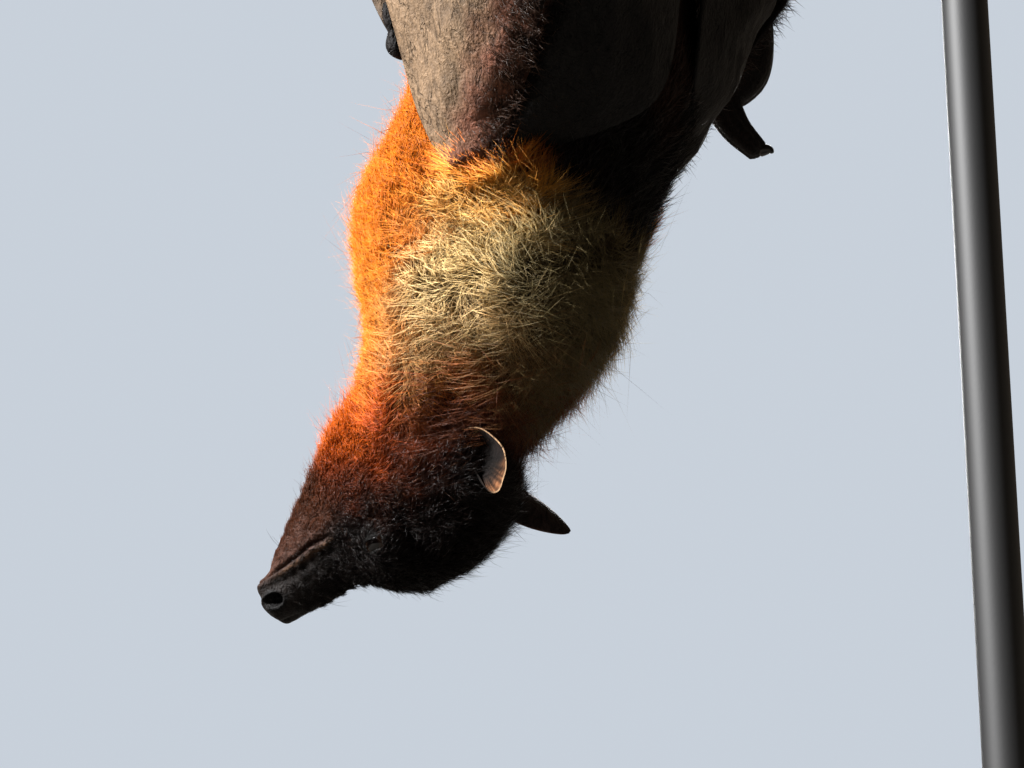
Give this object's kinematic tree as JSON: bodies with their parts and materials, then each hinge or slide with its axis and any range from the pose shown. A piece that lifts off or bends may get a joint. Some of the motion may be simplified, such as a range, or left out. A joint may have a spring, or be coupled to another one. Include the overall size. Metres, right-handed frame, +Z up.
{
  "type": "flying fox on display stand",
  "caption": "Life-size flying fox (fruit bat) hanging head down from a cut branch with half-open wings, its head turned aside, held by a plain display stand.",
  "frame": {"origin": "middle of the underside of the stand's base", "axes": "+Z up, from the bat's head toward its feet; its belly faces -Y, its back +Y and its right side +X"},
  "size_m": [0.2, 0.3255, 0.5813],
  "materials": {
    "mantle_coat": "long straw and orange fur",
    "dark_coat": "short dark brown fur",
    "wing_skin": "fine creased grey-brown membrane",
    "bare_skin": "bare dark skin",
    "wet_eye": "wet dark brown eye",
    "horn": "black horn",
    "bark": "dry grey-brown bark",
    "stand_metal": "satin black paint",
    "stand_wood": "satin black lacquer"
  },
  "bodies": {
    "root": {"ear_left": "bare_skin", "ear_right": "bare_skin", "eye_left": "wet_eye", "eye_right": "wet_eye", "foot_left": "bare_skin", "foot_right": "bare_skin", "forearm_left": "wing_skin", "forearm_right": "wing_skin", "hand_left": "wing_skin", "hand_right": "wing_skin", "head": "dark_coat", "index_claw_left": "horn", "index_claw_right": "horn", "lower_jaw": "dark_coat", "neck": "mantle_coat", "perch": "bark", "plagiopatagium_left": "wing_skin", "plagiopatagium_right": "wing_skin", "propatagium_left": "wing_skin", "propatagium_right": "wing_skin", "shank_left": "bare_skin", "shank_right": "bare_skin", "stand_arm": "stand_metal", "stand_base": "stand_wood", "stand_collar": "stand_metal", "stand_upright": "stand_metal", "thigh_left": "dark_coat", "thigh_right": "dark_coat", "thumb_claw_left": "horn", "thumb_claw_right": "horn", "thumb_left": "wing_skin", "thumb_right": "wing_skin", "toe_claw_left_1": "horn", "toe_claw_left_2": "horn", "toe_claw_left_3": "horn", "toe_claw_left_4": "horn", "toe_claw_left_5": "horn", "toe_claw_right_1": "horn", "toe_claw_right_2": "horn", "toe_claw_right_3": "horn", "toe_claw_right_4": "horn", "toe_claw_right_5": "horn", "trunk": "dark_coat", "upper_arm_left": "dark_coat", "upper_arm_right": "dark_coat", "wing_tip_left": "wing_skin", "wing_tip_right": "wing_skin"}
  },
  "joints": []
}
